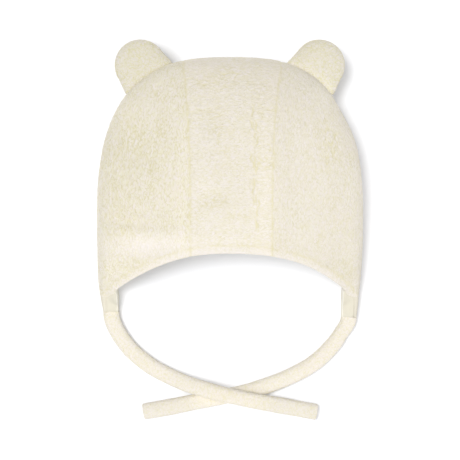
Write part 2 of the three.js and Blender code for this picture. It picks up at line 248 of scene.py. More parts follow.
def noise(p, seed):
    """Smooth noise of about -1 to 1: a random slope stands at each whole-number place, and a point blends the
    eight slopes round it."""
    cell = np.floor(p).astype(np.int64)
    f = p - cell
    w = f * f * f * (f * (f * 6 - 15) + 10)
    total = np.zeros(p.shape[:-1])
    for corner in np.ndindex(2, 2, 2):
        c = np.array(corner)
        h = scramble(cell + c, seed)
        slope = np.stack((h & 255, (h >> 8) & 255, (h >> 16) & 255), -1) / 127.5 - 1
        weight = np.prod(np.where(c == 1, w, 1 - w), -1)
        total += weight * ((f - c) * slope).sum(-1)
    return total * 1.3


def nap(p, grain, seed, rough=0.0):
    """Height of the fleece's pile and how open it lies, 0 to 1, at places in mm. Tufts and clumps are noise
    drawn out along the grain. Crackle and long partings are the narrow valleys where a noise crosses zero.
    They are deeper in some patches, and wherever "rough" is high."""
    warp = np.stack([noise(p / 5.0, seed + k) for k in range(3)], -1)
    q = (p + 0.9 * warp) / np.asarray(grain)
    tufts = noise(q / 1.15, seed + 5)
    clumps = noise(q / 2.6, seed + 6)
    crackle = hump(noise(q / 2.05, seed + 7) / 0.24)
    patches = ease(0.5 + 0.5 * noise(p / 11.0, seed + 8) + 0.6 * rough)
    parting = hump(noise(q / 5.2, seed + 9) / 0.045) * ease(0.05 + 1.2 * noise(p / 17.0, seed + 10) + rough)
    opened = np.clip(0.45 * crackle * (0.45 + 0.6 * patches) + 0.65 * parting, 0, 1)
    swell = noise(p / 13.0, seed + 11)
    return 0.29 * tufts + 0.04 * clumps - 0.34 * opened + 0.06 * swell, opened


def bells(table, x, y):
    """A sum of bells at places on the front, each as high as its share."""
    total = np.zeros(np.broadcast(x, y).shape)
    for place_x, place_y, across, up, share in table:
        total += share * np.exp(-((x - place_x) / across) ** 2 - ((y - place_y) / up) ** 2)
    return total


def meander(x, y, z):
    """The long wandering partings low on the strip: how open the pile is, and how much it rises beside them.
    Three lines whose places waver with noise along Y, each broken in its own places, drift apart and come
    back."""
    zero = np.zeros_like(y)

    def waver(reach, place, seed):
        return noise(np.stack((y / reach, zero + place, zero), -1), seed)

    middle = PARTING_X - 0.035 * (y - 50) + 1.6 * waver(11.0, 0.5, 91)
    opened, beside = zero, zero
    for k, offset in enumerate(PARTINGS):
        line = middle + offset * (0.6 + 0.8 * waver(8.0, 0.3 + k, 95)) + 1.5 * waver(3.4, 0.5 + k, 92 + k)
        broken = ease(0.55 + 1.4 * waver(6.0, 0.7 + k, 99))
        opened = np.maximum(opened, hump((x - line) / 0.85) * broken)
        beside = np.maximum(beside, hump((x - line) / 2.0) * broken)
    reach = ease((y + 12) / 14) * ease((98 - y) / 12) * ease((z - 20) / 10)
    return opened * reach, beside * reach


# The hat's surface

def outline_half():
    """Half of the outline from flap tip to crown top: a side that draws in with the square of its depth, then
    a superellipse."""
    y = np.linspace(-FLAP_DROP, 0, 400, endpoint=False)
    side = np.stack((HALF_WIDTH - FLAP_TAPER * (y / FLAP_DROP) ** 2, y), -1)
    a = np.linspace(0, math.pi / 2, 1600)
    power = 2 / CROWN_SQUARENESS
    crown = np.stack((HALF_WIDTH * np.maximum(np.cos(a), 0) ** power, CROWN_RISE * np.sin(a) ** power), -1)
    return spread_evenly(np.concatenate((side, crown)), 4000)


def edge_half(flap_points, lift):
    """Half of an edge from flap tip to middle: its points on the flap, then the brim, which drops with a
    power of the distance from the middle."""
    x = FLAP_INNER * np.linspace(1, 0, 11)
    brim = np.stack((x, -BROW_DROP - BRIM_DIP * (x / FLAP_INNER) ** BRIM_ROUNDNESS + lift), -1)
    return smooth_path(np.concatenate((flap_points, brim)), 4000)


flap_depth = FLAP_DROP + BRIM_LOW
OUTLINE = outline_half()
flap_width = HALF_WIDTH - FLAP_TAPER - FLAP_INNER
FRONT_EDGE = edge_half([(FLAP_INNER + a * flap_width, BRIM_LOW - d * flap_depth) for a, d in FLAP_EDGE], 0)
BACK_EDGE = edge_half([(FLAP_INNER, BRIM_LOW - d * flap_depth) for d in (1, 0.66, 0.33)], NAPE_HIDE)


def share_at_x(curve, x, start=0.0):
    """The share of a half curve, past the start, at which it has come in to the given x."""
    first = int(start * (len(curve) - 1))
    part = curve[first:, 0]
    return (first + np.interp(-x, -part, np.arange(len(part)))) / (len(curve) - 1)


BRIM_START = RIBS["along"][2]
RIBS["along"][4] = share_at_x(FRONT_EDGE, STRIP_BROW_WIDTH / 2, BRIM_START)
RIBS["outline"][4] = share_at_x(OUTLINE, STRIP_CROWN_WIDTH / 2, 0.5)
LEFT_SEAM = share_at_x(FRONT_EDGE, STRIP_BROW_WIDTH / 2 - STRIP_SHIFT, BRIM_START)
RIGHT_SEAM = 2 - share_at_x(FRONT_EDGE, STRIP_BROW_WIDTH / 2 + STRIP_SHIFT, BRIM_START)


def rib_value(key, at):
    """One column of the ribs' table as a smooth curve without overshoot, mirrored about the middle rib."""
    x = np.array(RIBS["along"] + [2 - v for v in RIBS["along"][-2::-1]])
    y = np.array(RIBS[key] + [2 - v if key == "outline" else v for v in RIBS[key][-2::-1]])
    step = np.diff(x)
    slope = np.diff(y) / step
    before, after = step[:-1], step[1:]
    agree = slope[:-1] * slope[1:] > 0
    low = np.where(agree, slope[:-1], 1.0)
    high = np.where(agree, slope[1:], 1.0)
    mean = 3 * (before + after) / ((2 * after + before) / low + (after + 2 * before) / high)
    tangent = np.concatenate(([slope[0]], np.where(agree, mean, 0.0), [slope[-1]]))
    i = np.clip(np.searchsorted(x, at, side="right") - 1, 0, len(x) - 2)
    t = (at - x[i]) / step[i]
    return (y[i] * (1 + 2 * t) * (1 - t) ** 2 + step[i] * tangent[i] * t * (1 - t) ** 2
            + y[i + 1] * t * t * (3 - 2 * t) + step[i] * tangent[i + 1] * t * t * (t - 1))


def both_sides(curve, share):
    """Points of a half curve and its mirror image: 0 is the left flap tip, 1 the middle, 2 the right tip."""
    s = 1 - np.abs(share - 1)
    at = np.clip(s, 0, 1) * (len(curve) - 1)
    steps = np.arange(len(curve))
    side = np.where(share < 1, -1, 1)
    return side * np.interp(at, steps, curve[:, 0]), np.interp(at, steps, curve[:, 1])


def soft_forms(x, y):
    """Sum of the front's rises and dents: each is a bell on a turned oval."""
    total = np.zeros(np.broadcast(x, y).shape)
    for _, place_x, place_y, long, wide, turn, rise in FORMS:
        a = math.radians(turn)
        u = ((x - place_x) * math.cos(a) + (y - place_y) * math.sin(a)) / long
        v = ((y - place_y) * math.cos(a) - (x - place_x) * math.sin(a)) / wide
        total += rise * np.exp(-u * u - v * v)
    return total


def outer(at, turn):
    """The hat's outer surface in mm. "at" picks a rib, 0 to 2 from left to right flap tip. "turn" runs along
    it from -1, the front edge, through 0, the outline's fold, to 1, the back edge. The first half of a turn
    rounds the fold by equal angles, and the second runs on to the edge."""
    at, turn = np.broadcast_arrays(np.asarray(at, float), np.asarray(turn, float))
    fold_x, fold_y = both_sides(OUTLINE, rib_value("outline", at))
    front_x, front_y = both_sides(FRONT_EDGE, at)
    back_x, back_y = both_sides(BACK_EDGE, at)
    for side, height, reach, push in UNEVEN_SIDES:
        fold_x = fold_x + push * hump((fold_y - height) / reach) * ((at - 1) * side > 0)
    lift = sum(rise * hump((front_x - place) / reach) for place, reach, rise in UNEVEN_BRIM)
    front_y = front_y + lift
    back_y = back_y + lift
    front = turn < 0
    end_x, end_y = np.where(front, front_x, back_x), np.where(front, front_y, back_y)
    height = FULLNESS * rib_value("height", at)
    edge = FULLNESS * rib_value("edge", at)
    rounding = np.where(front, FRONT_ROUNDING, BACK_ROUNDING)
    share = np.abs(turn)
    angle = np.minimum(share * 2, 1) * math.pi / 2
    power = 2 / ROUNDING_POWER
    run = np.where(share <= 0.5, rounding * (1 - np.maximum(np.cos(angle), 0) ** power),
                   rounding + (1 - rounding) * (share * 2 - 1))
    rise = np.sin(angle) ** power
    x = end_x + (fold_x - end_x) * (1 - run) ** rib_value("bend", at)
    y = end_y + (fold_y - end_y) * (1 - run)
    y = y + FLAP_SHIFT * (1 - 2 * ease(0.5 + (at - 1) * 2)) * ease((BRIM_LOW - y) / flap_depth)
    level = height * FOLD_LEVEL
    sag = np.maximum((run - rounding) / (1 - rounding), 0) ** 2
    top = level + (height - level) * rise - (height - edge) * sag
    top += soft_forms(x, y) * rise ** 2 * np.minimum(height / FULLNESS, 1)
    z = np.where(front, top, level * (1 - rise))
    return np.stack((x, y + TO_FRAME, z), -1)


def outward(at, turn):
    """The surface's outward direction, from its slope over a small step each way."""
    step = 0.003
    across = outer(np.minimum(at + step, 2), turn) - outer(np.maximum(at - step, 0), turn)
    along = outer(at, np.minimum(turn + step, 1)) - outer(at, np.maximum(turn - step, -1))
    return unit(np.cross(across, along))


# Meshes

def add_piece(name, points, faces, material, values=None):
    """A named object from points in mm and lists of corner numbers, smooth, riding on the part's one body."""
    mesh = bpy.data.meshes.new(name)
    mesh.from_pydata((points * MM).tolist(), [], faces)
    mesh.shade_smooth()
    mesh.set_sharp_from_angle(angle=math.radians(65))
    for key, array in (values or {}).items():
        mesh.attributes.new(key, "FLOAT", "POINT").data.foreach_set("value", np.asarray(array, np.float32))
    mesh.materials.append(material)
    mesh.update()
    piece = bpy.data.objects.new(name, mesh)
    bpy.context.scene.collection.objects.link(piece)
    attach(piece, "root")
    return piece


def grid_faces(rows, columns, closed=False):
    """Four-cornered faces between neighbouring points of a grid that is stored row by row. Where it is
    closed, the last column meets the first."""
    r = np.arange(rows - 1)[:, None]
    c = np.arange(columns if closed else columns - 1)[None, :]
    right = (c + 1) % columns
    a, b = r * columns + c, r * columns + right
    return np.stack((a, b, b + columns, a + columns), -1).reshape(-1, 4)


def shell_faces(rows, columns):
    """Faces of a sheet that wraps round a wall: the last row meets the first."""
    last = (rows - 1) * columns
    c = np.arange(columns - 1)
    wrap = np.stack((last + c, last + c + 1, c + 1, c), -1)
    return np.concatenate((grid_faces(rows, columns), wrap)).tolist()


def even_turns(at, low, high, count):
    """Turns from low to high that stand at equal distances along one rib."""
    fine = np.linspace(low, high, 3000)
    run = run_along(outer(np.full(3000, at), fine))
    return np.interp(np.linspace(0, run[-1], count), run, fine)


def seam_distance(points, turn, waver):
    """Distance in mm from each point to the nearer one of the long seams, whose lines stand off the panels'
    ends by the waver, a share of the ribs."""
    left = outer(LEFT_SEAM + waver, turn)
    right = outer(RIGHT_SEAM - waver, turn)
    return np.minimum(np.linalg.norm(points - left, axis=-1), np.linalg.norm(points - right, axis=-1))


def edge_distance(at, turn):
    """Distance in mm from each point to the brim's edge in front or behind, along its rib."""
    path = outer(at, turn)
    return np.linalg.norm(path - outer(at, np.where(turn < 0, -1.0, 1.0)), axis=-1)


def fleece_surface(at, turn, grain, seed):
    """The outer face of the fleece, its outward direction and its looks. The face is the plain surface,
    lowered in a groove along the seams and the hem's stitches, puffed between hem line and edge, and raised
    by the pile, but never under the ground. The looks are shares for the material: how open the pile lies;
    how much lighter or darker the colour is painted, partly for the pile's nap and partly as painted light
    and shade; how much of its crackle shows; and how white it is. Flap tips show no pile."""
    base = outer(at, turn)
    normal = outward(at, turn)
    in_front = turn < 0
    x, hat_y = base[..., 0], base[..., 1] - TO_FRAME

    # Seams and hem
    edge = edge_distance(at, turn)
    waver = 0.0035 * noise(np.stack((turn * 17, turn * 0 + 0.5, turn * 0), -1), 5)
    seam = seam_distance(base, turn, waver)
    broken = ease(0.7 + 0.9 * noise(base / 3.1, 61))
    hemmed = ease((1 - np.abs(at - 1)) / 0.12)
    stitched = hump((edge - HEM_WIDTH) / 1.2)
    groove = -0.35 * hump(seam / 0.9) - 0.12 * hump(seam / 2.5)
    hem = -0.28 * stitched * (0.4 + 0.6 * broken) + 0.15 * hump((edge - 3.2) / 2.4)

    # Pile
    ruffled = bells(RUFFLED, x, hat_y) * in_front
    height, opened = nap(base, grain, seed, ruffled)
    wander, beside = (share * in_front for share in meander(x, hat_y, base[..., 2]))
    flap_tip = ease((PILE_END - hat_y) / 0.8) * in_front
    near_seam = ease(seam_distance(base, turn, 0.0) / 1.5)
    height *= (0.35 + 0.65 * ease(edge / 2.5)) * near_seam * (1 - 0.8 * flap_tip)
    height += 0.25 * beside - 0.7 * wander
    face = base + normal * (PILE_LIFT + groove + hem * hemmed + height)[..., None]
    face[..., 2] = np.maximum(face[..., 2], 0.0)

    # Looks
    # Painted light and shade, partly nap: the table's bells lighten or darken the colour, and near the brim's
    # edge, more so towards the sides, the colour is painted lighter where the rounded edge turns away from
    # the lights.
    bright = bells(PAINTED_LIGHT_AND_NAP, x, hat_y) * in_front + (0.015 + 0.06 * ease(np.abs(x) / 60)) * hump(edge / 5)
    white = np.clip(bells(FLAT, x, hat_y) * in_front + 0.7 * hump(edge / 4.5) + 0.55 * beside, 0, 1)
    line = (0.6 * hump(seam / 0.9) + 0.42 * stitched * hemmed) * broken
    shade = np.clip(np.maximum(opened * (1 - 0.6 * white), wander) + line, 0, 1)
    rough = ease(0.5 + 0.9 * noise(base / 12.0, seed + 12)) + 0.5 * ruffled
    crackle = (0.68 + 0.37 * rough) * (1 - 0.6 * white)
    furry = 1 - flap_tip
    looks = {"opened": shade * furry, "painted_light_and_tone": 1 + bright * furry, "pile": crackle * furry, "white": white}
    return face, normal, looks


def half_round(face, inner, out):
    """Rows of a rounded edge from the face to the inner side of a wall: a half circle over their gap, which
    bulges out by only a share of its radius."""
    centre = 0.5 * (face + inner)
    arm = 0.5 * (face - inner)
    bulge = EDGE_BULGE * out * np.linalg.norm(arm, axis=-1, keepdims=True)
    angle = math.pi * np.array([0.2, 0.4, 0.6, 0.8])[:, None, None]
    return centre + arm * np.cos(angle) + bulge * np.sin(angle)


def fleece_panel(name, node, start, end, columns, front_rows, back_rows, grain, seed, material):
    """One panel between two ribs as a closed shell: the outer face row by row from front edge to back edge, a
    half-round edge, the inner face on every eighth row, a half-round edge again, and n-sided faces that close
    the two seam ends. Rows stand evenly on one rib, the middle one or, on a side, one nearer to the seam."""
    spaced = 0.5 * (start + end)
    if start == 0:
        spaced = SIDE_RIB * end
    if end == 2:
        spaced = 2 - SIDE_RIB * (2 - start)
    turns = np.concatenate((even_turns(spaced, -1, 0, front_rows)[:-1], even_turns(spaced, 0, 1, back_rows)))
    at, turn = np.broadcast_arrays(np.linspace(start, end, columns)[None, :], turns[:, None])
    face, normal, looks = fleece_surface(at, turn, grain, seed)
    base = outer(at, turn)
    inner = base - normal * (FLEECE_WALL * rib_value("wall", at))[..., None]
    front_edge, back_edge = (half_round(face[row], inner[row], unit((base[row] - base[further]) * (1, 1, 0)))
                             for row, further in ((0, 3), (-1, -4)))
    inner_rows = np.unique(np.append(np.arange(0, len(turns), 8), len(turns) - 1))
    sheet = np.concatenate((face, back_edge, inner[inner_rows][::-1], front_edge[::-1]))
    faces = shell_faces(len(sheet), columns) + end_caps(len(turns), inner_rows, len(front_edge), columns)
    rest = np.zeros((len(sheet) - len(turns), columns))
    values = {key: np.concatenate((array, rest + (key == "painted_light_and_tone"))).ravel() for key, array in looks.items()}
    piece = add_piece(name, sheet.reshape(-1, 3), faces, material, values)
    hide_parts(node)


def end_caps(face_rows, inner_rows, rim_rows, columns):
    """Faces that close a panel's two ends: each joins a run of the outer face to one step of the inner face.
    They are wound the other way round on the last column."""
    under_first = face_rows + rim_rows
    count = len(inner_rows)
    caps = []
    for column, first in ((0, True), (columns - 1, False)):
        for k in range(count - 1):
            outer_run = [r * columns + column for r in range(inner_rows[k], inner_rows[k + 1] + 1)]
            near = (under_first + count - 1 - k) * columns + column
            far = (under_first + count - 2 - k) * columns + column
            loop = outer_run + [far, near]
            caps.append(loop if first else loop[::-1])
        back = [(face_rows - 1 + i) * columns + column for i in range(rim_rows + 2)]
        front = [(under_first + count - 1 + i) * columns + column for i in range(rim_rows + 1)] + [column]
        caps.append(back if first else back[::-1])
        caps.append(front if first else front[::-1])
    return caps


def past_front_edge(points):
    """How far, seen from above, each point lies past the front edge of the flaps: the distance to the nearest
    place on the edge, along the way that leads out of the cloth there. Also the edge's height near each
    point, a mean in which each place on the edge counts by its closeness."""
    share = np.linspace(0, 0.3, 400)
    share = np.concatenate((share, 2 - share[::-1]))
    rim = outer(share, -1.0)
    edge = rim[:, :2]
    out = unit(edge - outer(share, -0.96)[:, :2])
    gap = points[..., None, :2] - edge
    far = (gap ** 2).sum(-1)
    nearest = np.argmin(far, axis=-1)
    weight = np.exp((far.min(-1, keepdims=True) - far) / 9.0)
    height = weight @ rim[:, 2] / weight.sum(-1)
    gap = np.take_along_axis(gap, nearest[..., None, None], axis=-2)[..., 0, :]
    return (gap * out[nearest]).sum(-1), height


def lining(material):
    """The lining: a closed shell of little thickness a little inside the fleece, from flap tip to flap tip.
    It follows the same surface, without pile, with a few soft wrinkles. Behind each flap tip it swells
    inwards to a smooth tab, which rises past the fleece's front edge up to the edge's own height. Along the
    tab's rim the
    colour is painted lighter: painted light, which keeps the rim's wall, facing away from the lights, as pale
    as the tab."""
    columns = 220
    turns = np.concatenate((even_turns(1.0, -1, 0, 80)[:-1], even_turns(1.0, 0, 1, 51)))
    rows = len(turns)
    u = np.linspace(0, 1, columns)
    at, turn = np.broadcast_arrays((u + 0.5 - 0.5 * np.cos(math.pi * u))[None, :], turns[:, None])
    base = outer(at, turn)
    normal = outward(at, turn)
    depth = FLEECE_WALL * rib_value("wall", at) + LINING_GAP
    wrinkle = 0.35 * np.maximum(noise(base / np.array([9.0, 26.0, 14.0]), 71), -0.2)
    edge = edge_distance(at, turn)
    top = base - normal * (depth + wrinkle * ease(edge / 8))[..., None]
    under = base - normal * (depth + LINING_WALL + wrinkle)[..., None]
    from_tip = 1 - np.abs(at - 1)
    rounding = (1 - (1 - np.clip(edge / 0.3, 0, 1)) ** 2.2) ** (1 / 2.2)
    bare, rim_height = past_front_edge(under)
    swell = TAB_SWELL + (rim_height - under[..., 2] - TAB_SWELL) * ease((bare + TAB_MARGIN) / 0.8)
    under[..., 2] += swell * ease((0.2 - from_tip) / 0.05) * ease(turn / 0.05) * rounding
    sheet = np.concatenate((top, under[::-1]))
    r = np.arange(rows - 1)
    mirror = 2 * rows - 1 - r
    left = np.stack((r, r + 1, mirror - 1, mirror), -1) * columns
    right = left[:, ::-1] + columns - 1
    faces = shell_faces(2 * rows, columns) + left.tolist() + right.tolist()
    # Painted light: the jersey is painted lighter along the tab's inner rim, whose wall faces away from the
    # lights.
    rim_painted_light = np.concatenate((np.zeros(at.shape), (0.22 * hump(edge / 0.6) * (turn > 0))[::-1])).ravel()
    piece = add_piece("lining_jersey", sheet.reshape(-1, 3), faces, material, {"rim_painted_light": rim_painted_light})
    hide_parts("lining")


# Ears

def ear_outline(count):
    """The ear's outline round its circle's centre, tip to +Y: a half circle whose sides run on, a little
    spreading, to the sewn end inside the crown."""
    a = np.linspace(0, math.pi, 400)
    arc = np.stack((EAR_RADIUS * np.cos(a), EAR_RADIUS * np.sin(a)), -1)
    foot = EAR_RADIUS + EAR_FLARE * EAR_ROOT / EAR_FLARE_LENGTH
    corner = 4.0
    b = np.linspace(math.pi, 1.5 * math.pi, 60)
    left = np.stack((-foot + corner + corner * np.cos(b), -EAR_ROOT + corner + corner * np.sin(b)), -1)
    loop = np.concatenate((arc, left, left[::-1] * (-1, 1), arc[:1]))
    return spread_evenly(loop, count + 1)[:-1]


def ear(side, grain, seed, material):
    """A padded ear: its outline drawn in ring by ring, each ring raised so that the ear swells from a sewn
    rim of almost no thickness to its middle. The pile stands on both faces. Towards the sewn end its colour
    is
    painted a little brighter: painted light against the shade where the crown covers the ear's root."""
    around, rings = 300, 76
    loop = ear_outline(around)
    share = np.sin(np.linspace(0, 1, rings) * math.pi / 2) ** 0.9
    puff = EAR_THICKNESS / 2 * np.sqrt(np.maximum(1 - share ** 2.6, 0))
    flat = loop[None, :, :] * share[:, None, None]
    top = np.concatenate((flat, np.repeat(puff[:, None], around, 1)[..., None]), -1)
    under = top[:-1] * (1, 1, -1)
    sheet = np.concatenate((top[1:], under[::-1][:-1]))
    poles = np.array([[0, 0, puff[0]], [0, 0, -puff[0]]])
    seat_share = share_at_x(OUTLINE, EAR_SPACING / 2, 0.3)
    fine = np.linspace(0, 1, 2001)
    rib = float(np.interp(seat_share, rib_value("outline", fine), fine))
    seat = outer(rib if side < 0 else 2 - rib, 0.0)
    lean = EAR_LEAN * side
    tip = np.array([math.sin(lean), math.cos(lean), 0.0])
    right = np.array([math.cos(lean), -math.sin(lean), 0.0])
    origin = seat + tip * EAR_STAND + (0, EAR_RISE, 0)

    def placed(p):
        return origin + p[..., :1] * right + p[..., 1:2] * tip + p[..., 2:] * (0, 0, 1)

    spot = placed(sheet)
    normal = unit(np.cross(np.roll(spot, -1, 1) - np.roll(spot, 1, 1), np.gradient(spot, axis=0)))
    normal *= np.where((normal * (spot - origin)).sum(-1, keepdims=True) < 0, -1, 1)
    height, opened = nap(spot, grain, seed)
    rim = np.abs(np.concatenate((share[1:], share[:-1][::-1][:-1])) - 1)[:, None] * EAR_RADIUS
    seam = -0.5 * hump(rim / 0.7)
    spot = spot + normal * (height * (0.4 + 0.3 * ease(rim / 2)) + seam)[..., None]
    rows = len(spot)
    faces = grid_faces(rows, around, closed=True)[:, ::-1].tolist()
    pole_first = rows * around
    c = np.arange(around)
    after = (c + 1) % around
    faces += np.stack((c, after, np.full(around, pole_first)), -1).tolist()
    low = (rows - 1) * around
    faces += np.stack((low + after, low + c, np.full(around, pole_first + 1)), -1).tolist()
    points = np.concatenate((spot.reshape(-1, 3), placed(poles)))
    shade = np.concatenate((np.clip(opened + 0.5 * hump(rim / 0.6), 0, 1).ravel(), [0, 0]))
    # Painted light: towards the sewn end the ear's colour is lifted by up to 7 percent, against the shade
    # where the crown covers the ear's root.
    bright = np.append(1 + 0.07 * ease(-sheet[..., 1] / 12), [1, 1])
    values = {"opened": shade, "painted_light_and_tone": bright, "pile": np.ones(len(points))}
    node = "ear_left" if side < 0 else "ear_right"
    piece = add_piece(node + "_pad", points, faces, material, values)
    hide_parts(node)


# Ties

def tie(name, node, route, seed, slim, material):
    """A sewn tube of fleece along its route: rings of a soft oval section stand square to the path, a little
    uneven in width, narrower by the share "slim" in its first bend, and drawn in quickly at both ends to a
    square end with round corners."""
    count, around = 460, 60
    path = smooth_path(route, count)
    forward = unit(np.gradient(path, axis=0))
    sideways = unit(np.cross(forward, np.array([0, 0, 1.0])))
    up = np.cross(sideways, forward)
    run = run_along(path)
    length = run[-1]
    near = 1 - (1 - np.clip(run / 0.8, 0.3, 1)) ** 3
    close = near * (1 - (1 - np.clip((length - run) / 2.4, 0, 1)) ** 3.6) ** (1 / 3.6)
    wobble = noise(np.stack((run / 14.0, np.full(count, 3.3), np.full(count, 0.7)), -1), seed)
    first_bend = hump((run - 14) / 10)
    far_part = hump((run / length - 0.68) / 0.14)
    width = TIE_WIDTH / 2 * (1 + 0.03 * wobble - 0.07 * far_part - slim * first_bend)

    # Rings: a superellipse, with its own outward direction for the pile
    a = np.linspace(0, 2 * math.pi, around, endpoint=False)
    cos, sin = np.cos(a), np.sin(a)
    squareness = 2 / 3.0
    across = np.outer(width * close, np.sign(cos) * np.abs(cos) ** squareness)
    above = np.outer(TIE_THICKNESS / 2 * close, np.sign(sin) * np.abs(sin) ** squareness)
    spot = path[:, None] + sideways[:, None] * across[..., None] + up[:, None] * above[..., None]
    flat_way, steep_way = (cos / TIE_WIDTH)[:, None], (sin / TIE_THICKNESS)[:, None]
    normal = unit(sideways[:, None] * flat_way + up[:, None] * steep_way)
    height, opened = nap(spot * 1.15, (0.9, 0.9, 0.9), seed)
    keep = ease(np.minimum(run, length - run) / 1.5)[:, None]
    seam_line = -0.35 * hump((a[None, :] - math.pi * 1.08) / 0.12)
    spot = spot + normal * ((0.75 * height + seam_line) * (0.2 + 0.8 * keep))[..., None]
    spot[..., 2] = np.maximum(spot[..., 2], 0.0)
    faces = grid_faces(count, around, closed=True)[:, ::-1].tolist()
    faces += [list(range(around)), [(count - 1) * around + i for i in range(around)][::-1]]
    # The colour grows up to 5 percent darker over the far part of the tie.
    darker_far_part = np.repeat(1 - 0.05 * ease((run / length - 0.72) / 0.12), around)
    values = {"opened": (0.8 * opened).ravel(), "painted_light_and_tone": darker_far_part, "pile": np.ones(opened.size)}
    piece = add_piece(name, spot.reshape(-1, 3), faces, material, values)
    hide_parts(node)


# Stitches

def hem_stitches(material):
    """The brim's row of stitches: short rounded threads, one behind another, sunk in the groove of the hem in
    front and behind. Each is a stretched ball, copied to its place and turned along the row."""
    pitch, half_length, radius, sunk = 2.9, 1.0, 0.24, 0.25
    ball, ball_faces = unit_ball(8, 5)
    stretched = ball * (half_length, radius, radius)
    bodies = []
    for side in (-1.0, 1.0):
        at = np.linspace(0.14, 1.86, 1200)
        turn = turn_at_edge_distance(at, side, HEM_WIDTH)
        line = outer(at, turn) - outward(at, turn) * sunk
        run = run_along(line)
        places = np.arange(pitch, run[-1] - pitch, pitch)
        centre, ahead = (np.stack([np.interp(places + further, run, line[:, k]) for k in range(3)], -1)
                         for further in (0.0, 0.5))
        forward = unit(ahead - centre)
        across = unit(np.cross(outward(np.interp(places, run, at), np.interp(places, run, turn)), forward))
        turned = np.stack((forward, across, np.cross(forward, across)), 1)
        bodies.append(centre[:, None] + stretched @ turned)
    points = np.concatenate(bodies).reshape(-1, 3)
    faces = [[first + i for i in face] for first in range(0, len(points), len(ball)) for face in ball_faces]
    add_piece("hem_stitches", points, faces, material)


def unit_ball(around, rings):
    """Points and faces of a ball of radius 1 whose poles lie along X."""
    a = np.linspace(0, math.pi, rings + 2)[1:-1]
    b = np.linspace(0, 2 * math.pi, around, endpoint=False)
    body = np.stack((np.repeat(np.cos(a), around), np.outer(np.sin(a), np.cos(b)).ravel(),
                     np.outer(np.sin(a), np.sin(b)).ravel()), -1)
    points = np.concatenate((body, [[1, 0, 0], [-1, 0, 0]]))
    faces = grid_faces(rings, around, closed=True)[:, ::-1].tolist()
    first, last = rings * around, rings * around + 1
    faces += [[i, (i + 1) % around, first] for i in range(around)]
    low = (rings - 1) * around
    faces += [[low + (i + 1) % around, low + i, last] for i in range(around)]
    return points, faces


def turn_at_edge_distance(at, side, distance):
    """The turn on each rib whose point lies the given distance from the edge, by halving."""
    low = np.full(len(at), 0.5)
    high = np.full(len(at), 1.0)
    for _ in range(24):
        mid = (low + high) / 2
        far = edge_distance(at, side * mid) > distance
        low = np.where(far, mid, low)
        high = np.where(far, high, mid)
    return side * low


# Materials

# Colours, as display values from 0 to 255
TIPS_COOL = (249, 241, 235)
TIPS_PALE = (251, 244, 239)
TIPS_WARM = (250, 239, 231)
TIPS_YELLOW = (247, 243, 222)
BRUSHED_WHITE = (250, 243, 240)
FIBRE_SHADE = (238, 230, 206)
PARTED_DEEP = (235, 227, 186)
FLAP_TIP = (243, 237, 219)
LOOSE_FIBRES = (255, 250, 236)
KNIT_DARK = (244, 238, 219)
KNIT_PALE = (248, 243, 226)
KNIT_GROOVE = (226, 220, 194)
# The next colour is painted light for the lining tab's rim.
KNIT_PAINTED_LIGHT = (254, 250, 236)
THREAD_DARK = (226, 216, 186)
THREAD_PALE = (240, 233, 210)
FLOOR_WHITE = (0.885, 0.89, 0.915, 1)  # this one as the shader wants it
FLOOR_GLOW = 0.075


def linear(colour, tone=1.0):
    """A colour given as display values, as the shader wants it, made darker or lighter by the tone."""
    v = np.array(colour) / 255
    return tuple(tone * ((v + 0.055) / 1.055) ** 2.4) + (1.0,)


class Shader:
    """A material's nodes, added one by one and linked by name."""

    def __init__(self, name):
        self.material = bpy.data.materials.new(name)
        self.material.use_nodes = True
        self.nodes = self.material.node_tree.nodes
        self.links = self.material.node_tree.links
        self.main = self.nodes["Principled BSDF"]
        self.place = self.nodes.new("ShaderNodeTexCoord").outputs["Object"]

    def add(self, kind, inputs=None, **settings):
        """A node of the given kind. Inputs are set to values, or linked where a value is another's output."""
        node = self.nodes.new(kind)
        for key, value in settings.items():
            setattr(node, key, value)
        for key, value in (inputs or {}).items():
            self.feed(node, key, value)
        return node

    def feed(self, node, key, value):
        """Sets one input of a node, or links another node's output to it."""
        if isinstance(value, bpy.types.NodeSocket):
            self.links.new(value, node.inputs[key])
        else:
            node.inputs[key].default_value = value

    def noise(self, scale, stretch=(1, 1, 1), detail=2.0, roughness=0.5):
        """Noise on the object's own coordinates, with the given number of blobs to the metre."""
        mapped = self.add("ShaderNodeMapping", {"Vector": self.place, "Scale": stretch})
        made = self.add("ShaderNodeTexNoise", {"Vector": mapped.outputs[0], "Scale": scale, "Detail": detail,
                                               "Roughness": roughness})
        return made.outputs["Fac"]

    def look(self, key):
        """One of the looks that a piece's mesh carries."""
        return self.add("ShaderNodeAttribute", attribute_name=key).outputs["Fac"]

    def ramp(self, value, low, high, out_low=0.0, out_high=1.0):
        """A value's range from low to high stretched to another range and held at its ends."""
        made = self.add("ShaderNodeMapRange", {"Value": value, "From Min": low, "From Max": high,
                                               "To Min": out_low, "To Max": out_high})
        return made.outputs["Result"]

    def crackle(self, value, width, share):
        """Thin lines where a noise crosses its middle, as strong as the share."""
        off = self.add("ShaderNodeMath", {0: value, 1: 0.5}, operation="SUBTRACT").outputs[0]
        away = self.add("ShaderNodeMath", {0: off}, operation="ABSOLUTE").outputs[0]
        return self.ramp(away, 0.0, width, share, 0.0)

    def mix(self, share, first, second, blend_type="MIX"):
        """Two colours mixed by a share."""
        made = self.add("ShaderNodeMix", data_type="RGBA", blend_type=blend_type)
        self.feed(made, 0, share)
        self.feed(made, 6, first)
        self.feed(made, 7, second)
        return made.outputs[2]

    def bump(self, height, strength, distance, before=None):
        """A bump from a height, on top of another bump."""
        made = self.add("ShaderNodeBump", {"Height": height, "Strength": strength, "Distance": distance})
        if before is not None:
            self.feed(made, "Normal", before)
        return made.outputs["Normal"]


